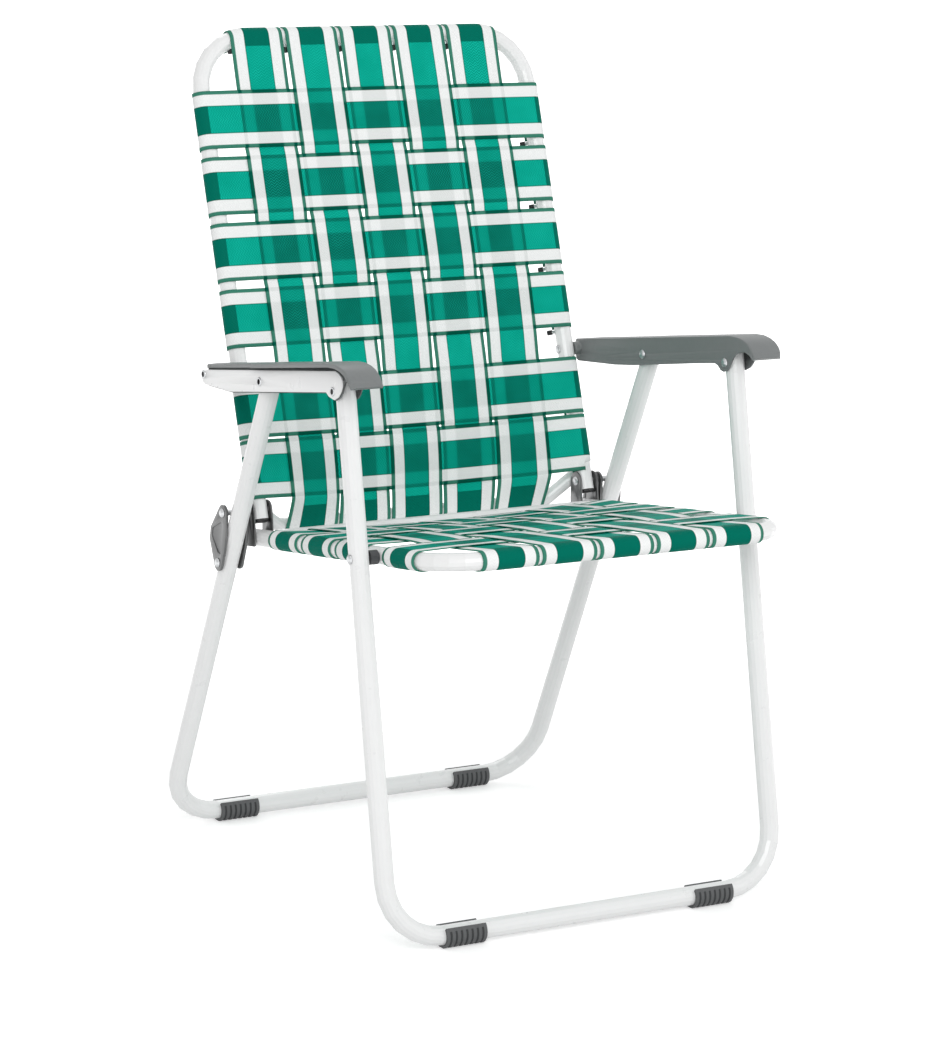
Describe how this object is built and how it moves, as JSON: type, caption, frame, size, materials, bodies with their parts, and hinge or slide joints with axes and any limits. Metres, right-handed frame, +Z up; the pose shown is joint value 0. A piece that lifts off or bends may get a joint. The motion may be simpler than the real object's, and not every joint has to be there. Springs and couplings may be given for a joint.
{
  "type": "folding webbed lawn chair",
  "caption": "Folding garden chair with a tubular frame, a woven striped webbing seat and high back, moulded armrests and pressed hinge links.",
  "frame": {"origin": "on the floor, under the middle of the open chair's bounding box", "axes": "+Z up, the sitter faces -Y, X across the chair; left is -X"},
  "size_m": [0.555, 0.6268, 0.9501],
  "materials": {
    "white_paint": "semi-gloss white powder coat on steel tube and plate",
    "webbing": "woven plastic webbing, green with white stripes, slightly translucent",
    "armrest_plastic": "satin grey moulding",
    "foot_rubber": "dark grey, ribbed",
    "zinc_rivet": "zinc-plated rivets",
    "link_steel": "pressed grey steel",
    "black_plastic": "black tube end caps",
    "spacer_plastic": "dark grey pivot spacer"
  },
  "bodies": {
    "rear_leg": {"rear_leg": "white_paint", "foot_rear_left": "foot_rubber", "foot_rear_right": "foot_rubber"},
    "arms": {"arm_plate_left": "white_paint", "arm_plate_right": "white_paint", "armrest_left": "armrest_plastic", "armrest_right": "armrest_plastic", "arm_rivet_front_left": "zinc_rivet", "arm_rivet_front_right": "zinc_rivet", "arm_rivet_middle_left": "zinc_rivet", "arm_rivet_middle_right": "zinc_rivet", "arm_rivet_rear_left": "zinc_rivet", "arm_rivet_rear_right": "zinc_rivet"},
    "back": {"back_frame": "white_paint", "back_lower_bar": "white_paint", "back_cap_left": "black_plastic", "back_cap_right": "black_plastic", "hinge_rivet_left": "zinc_rivet", "hinge_rivet_right": "zinc_rivet", "back_row_1": "webbing", "back_row_2": "webbing", "back_row_3": "webbing", "back_row_4": "webbing", "back_row_5": "webbing", "back_row_6": "webbing", "back_strap_1": "webbing", "back_strap_2": "webbing", "back_strap_3": "webbing", "back_strap_4": "webbing", "back_strap_5": "webbing"},
    "seat": {"seat_frame": "white_paint", "seat_rear_bar": "white_paint", "seat_cap_left": "black_plastic", "seat_cap_right": "black_plastic", "hinge_plate_inner_left": "link_steel", "hinge_plate_inner_right": "link_steel", "hinge_plate_outer_left": "link_steel", "hinge_plate_outer_right": "link_steel", "seat_pivot_rivet_left": "zinc_rivet", "seat_pivot_rivet_right": "zinc_rivet", "seat_pivot_spacer_left": "spacer_plastic", "seat_pivot_spacer_right": "spacer_plastic", "seat_row_1": "webbing", "seat_row_2": "webbing", "seat_row_3": "webbing", "seat_row_4": "webbing", "seat_strap_1": "webbing", "seat_strap_2": "webbing", "seat_strap_3": "webbing", "seat_strap_4": "webbing", "seat_strap_5": "webbing"},
    "front_leg": {"front_leg": "white_paint", "foot_front_left": "foot_rubber", "foot_front_right": "foot_rubber"},
    "links": {"link_inner_left": "link_steel", "link_inner_right": "link_steel", "link_outer_left": "link_steel", "link_outer_right": "link_steel", "link_rivet_left": "zinc_rivet", "link_rivet_right": "zinc_rivet"}
  },
  "joints": [
    {"name": "arm_fold", "type": "hinge", "parent": "rear_leg", "child": "arms", "pos_m": [0, 0.03379, 0.58205], "axis": [-1, 0, 0], "range_deg": [-1, 55.78]},
    {"name": "back_fold", "type": "hinge", "parent": "arms", "child": "back", "pos_m": [0, 0.17548, 0.5686], "axis": [1, 0, 0], "range_deg": [-1, 101.72]},
    {"name": "seat_fold", "type": "hinge", "parent": "back", "child": "seat", "pos_m": [0, 0.12359, 0.41619], "axis": [-1, 0, 0], "range_deg": [0, 101.6]},
    {"name": "front_leg_fold", "type": "hinge", "parent": "seat", "child": "front_leg", "pos_m": [0, -0.1726, 0.42135], "axis": [1, 0, 0], "range_deg": [-1, 89.75]},
    {"name": "link_fold", "type": "hinge", "parent": "back", "child": "links", "pos_m": [0, 0.12359, 0.41619], "axis": [-1, 0, 0], "range_deg": [-1, 189.59]}
  ],
  "couplings": [
    {"joint": "arm_fold", "follows": "seat_fold", "ratio": 0.53915},
    {"joint": "back_fold", "follows": "seat_fold", "ratio": 0.99133},
    {"joint": "front_leg_fold", "follows": "seat_fold", "ratio": 0.87351},
    {"joint": "link_fold", "follows": "seat_fold", "ratio": 1.8562}
  ]
}
